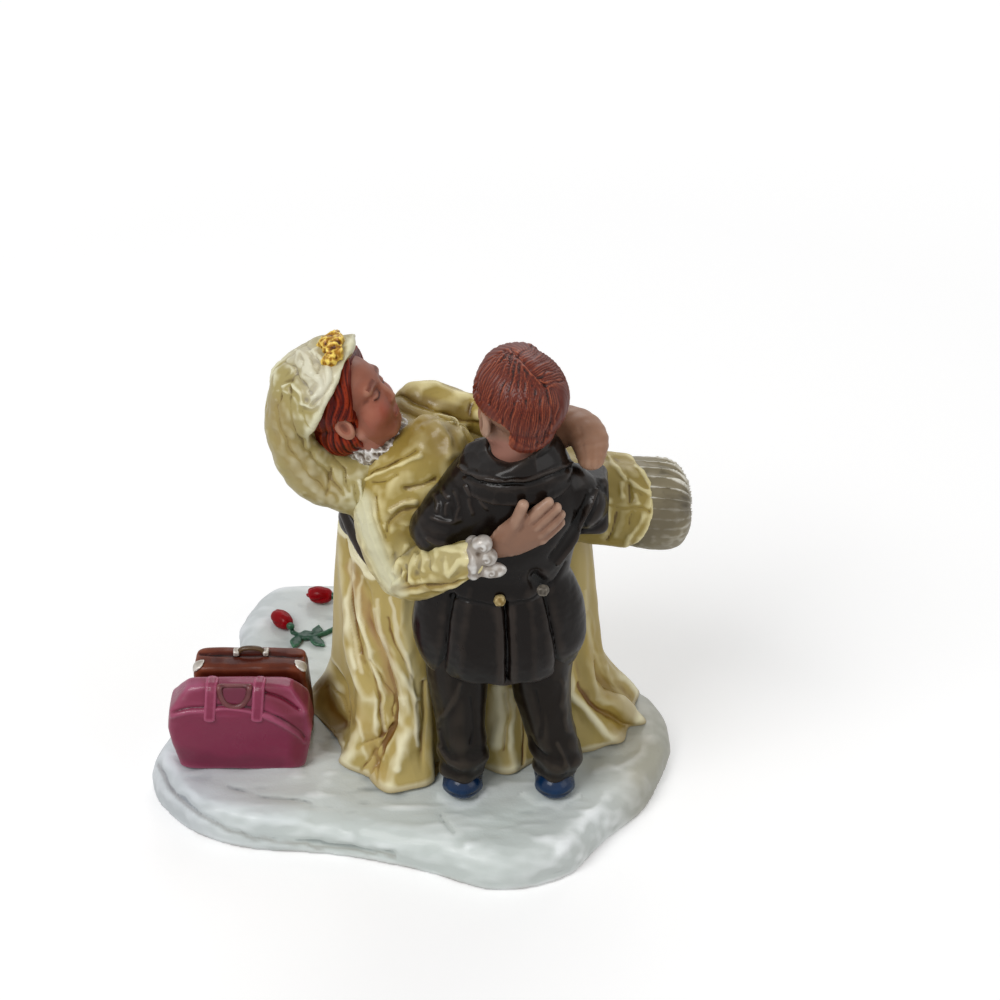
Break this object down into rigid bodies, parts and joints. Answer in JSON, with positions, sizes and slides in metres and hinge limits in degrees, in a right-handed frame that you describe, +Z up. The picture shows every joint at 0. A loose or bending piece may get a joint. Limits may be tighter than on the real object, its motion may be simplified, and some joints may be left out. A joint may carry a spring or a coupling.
{
  "type": "wedding couple figurine",
  "caption": "Painted resin figurine of a groom in a tailcoat carrying his bride over a snow base, with luggage and dropped roses beside them.",
  "frame": {"origin": "on the flat underside of the snow base, near its middle", "axes": "+Z up, +X to the groom's right hand side, -Y towards the groom's back"},
  "size_m": [0.0692, 0.0582, 0.0692],
  "materials": {
    "snow": "painted resin, satin",
    "coat": "painted resin, glossy",
    "trousers": "painted resin, glossy",
    "button": "gold paint on resin",
    "shirt": "painted resin",
    "skin": "painted resin, satin",
    "groom_hair": "painted resin, satin",
    "bride_hair": "painted resin, satin",
    "shoe": "painted resin, glossy",
    "gown": "painted resin with a brown wash, glossy",
    "veil": "painted resin with a brown wash, glossy",
    "petticoat": "painted resin with a grey wash",
    "lace": "silver paint on resin",
    "gold": "gold paint on resin",
    "bag": "painted resin, glossy",
    "bag_handle": "painted resin, glossy",
    "suitcase": "painted resin, glossy",
    "fittings": "silver paint on resin",
    "rose": "painted resin, glossy",
    "leaf": "painted resin, satin"
  },
  "bodies": {
    "root": {"snow_base": "snow", "shoe_left": "shoe", "shoe_right": "shoe", "trouser_leg_left": "trousers", "trouser_leg_right": "trousers", "tailcoat": "coat", "coat_collar": "coat", "coat_button_left": "button", "coat_button_right": "button", "coat_sleeve_left": "coat", "coat_sleeve_right": "coat", "shirt_front": "shirt", "shirt_collar": "shirt", "bow_tie": "coat", "groom_head": "skin", "groom_hair": "groom_hair", "groom_hand_left": "skin", "groom_hand_right": "skin", "bride_head": "skin", "bride_hair": "bride_hair", "veil": "veil", "veil_flowers": "gold", "lace_collar": "lace", "bodice": "gown", "sleeve_near": "gown", "sleeve_far": "gown", "bride_hand_near": "skin", "bride_hand_far": "skin", "wrist_corsage": "lace", "skirt": "gown", "petticoat": "petticoat", "gown_train": "gown", "carpet_bag": "bag", "bag_strap_left": "bag", "bag_strap_right": "bag", "bag_handle": "bag_handle", "suitcase": "suitcase", "suitcase_handle": "bag_handle", "handle_mount_left": "fittings", "handle_mount_right": "fittings", "suitcase_corner_left": "fittings", "suitcase_corner_right": "fittings", "rose_bloom_near": "rose", "rose_bloom_far": "rose", "rose_stem_near": "leaf", "rose_stem_far": "leaf"}
  },
  "joints": []
}
